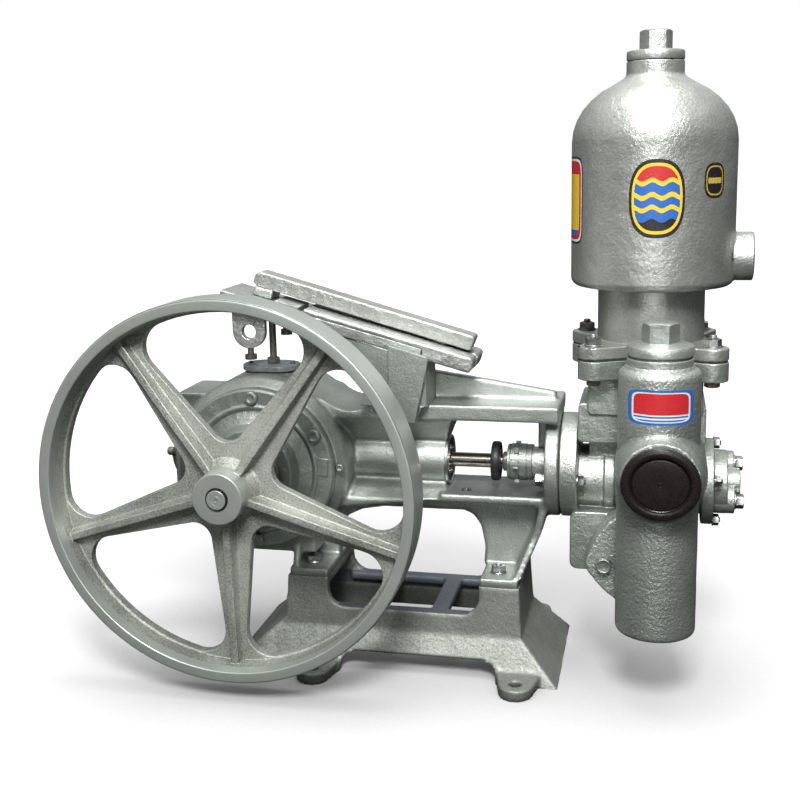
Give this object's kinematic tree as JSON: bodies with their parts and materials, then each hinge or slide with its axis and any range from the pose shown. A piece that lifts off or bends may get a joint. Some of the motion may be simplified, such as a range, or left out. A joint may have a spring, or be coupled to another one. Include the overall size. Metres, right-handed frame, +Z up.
{
  "type": "belt-driven horizontal piston pump",
  "caption": "Horizontal piston pump with a spoked flywheel pulley, open lantern frame, suction chamber and domed air vessel on a cast stand.",
  "frame": {"origin": "on the floor, midway between the four foundation bolt holes", "axes": "+X from the flywheel end to the pump end, +Z up, -Y towards the flywheel"},
  "size_m": [0.7275, 0.3096, 0.682],
  "materials": {
    "stand_paint": "rough grey casting paint",
    "frame_paint": "silver-grey paint on a rough casting",
    "wheel_paint": "silver-grey paint, machined rim",
    "rail_paint": "silver-grey paint on rough bars",
    "pump_paint": "silver-grey paint on a rough casting",
    "vessel_paint": "bright silver-grey paint on a rough casting",
    "dark_paint": "dark grey paint",
    "bolt_steel": "painted bolts",
    "shaft_steel": "turned steel",
    "rod_steel": "ground steel",
    "slinger_rubber": "black rubber",
    "gland_metal": "turned metal",
    "gasket": "black gasket sheet",
    "cap_plastic": "black moulded plastic"
  },
  "bodies": {
    "base": {"stand": "stand_paint", "frame": "frame_paint", "crankcase_cover": "frame_paint", "cover_bolt_set": "bolt_steel", "bearing_ring": "frame_paint", "inspection_plate": "dark_paint", "support_screw": "bolt_steel", "motor_bracket": "frame_paint", "platform_plate": "frame_paint", "front_rail": "rail_paint", "middle_rail": "rail_paint", "upper_rail": "rail_paint", "rail_pad": "dark_paint", "ear_screw": "bolt_steel", "platform_bolt": "bolt_steel", "filler_plug": "bolt_steel", "foot_bolt_set": "bolt_steel", "guide_ring": "frame_paint", "stuffing_box": "frame_paint", "gland_nut": "gland_metal", "joint_gasket": "gasket", "flange_bolt_set": "bolt_steel", "pump_cylinder": "pump_paint", "end_cover": "pump_paint", "end_bolt_set": "bolt_steel", "suction_chamber": "pump_paint", "chamber_plug": "pump_paint", "port_cap": "cap_plastic", "chamber_bolt_set": "bolt_steel", "neck_gasket": "gasket", "air_vessel": "vessel_paint", "vessel_plug": "vessel_paint", "neck_bolt_set": "bolt_steel"},
    "wheel": {"flywheel": "wheel_paint", "crankshaft": "shaft_steel"},
    "rod": {"piston_rod": "rod_steel", "slinger_ring": "slinger_rubber"}
  },
  "joints": [
    {"name": "flywheel_turn", "type": "hinge", "parent": "base", "child": "wheel", "pos_m": [-0.18, -0.178, 0.226], "axis": [0, 1, 0], "continuous": true},
    {"name": "rod_stroke", "type": "slide", "parent": "base", "child": "rod", "axis": [1, 0, 0], "range_m": [-0.038, 0]}
  ]
}
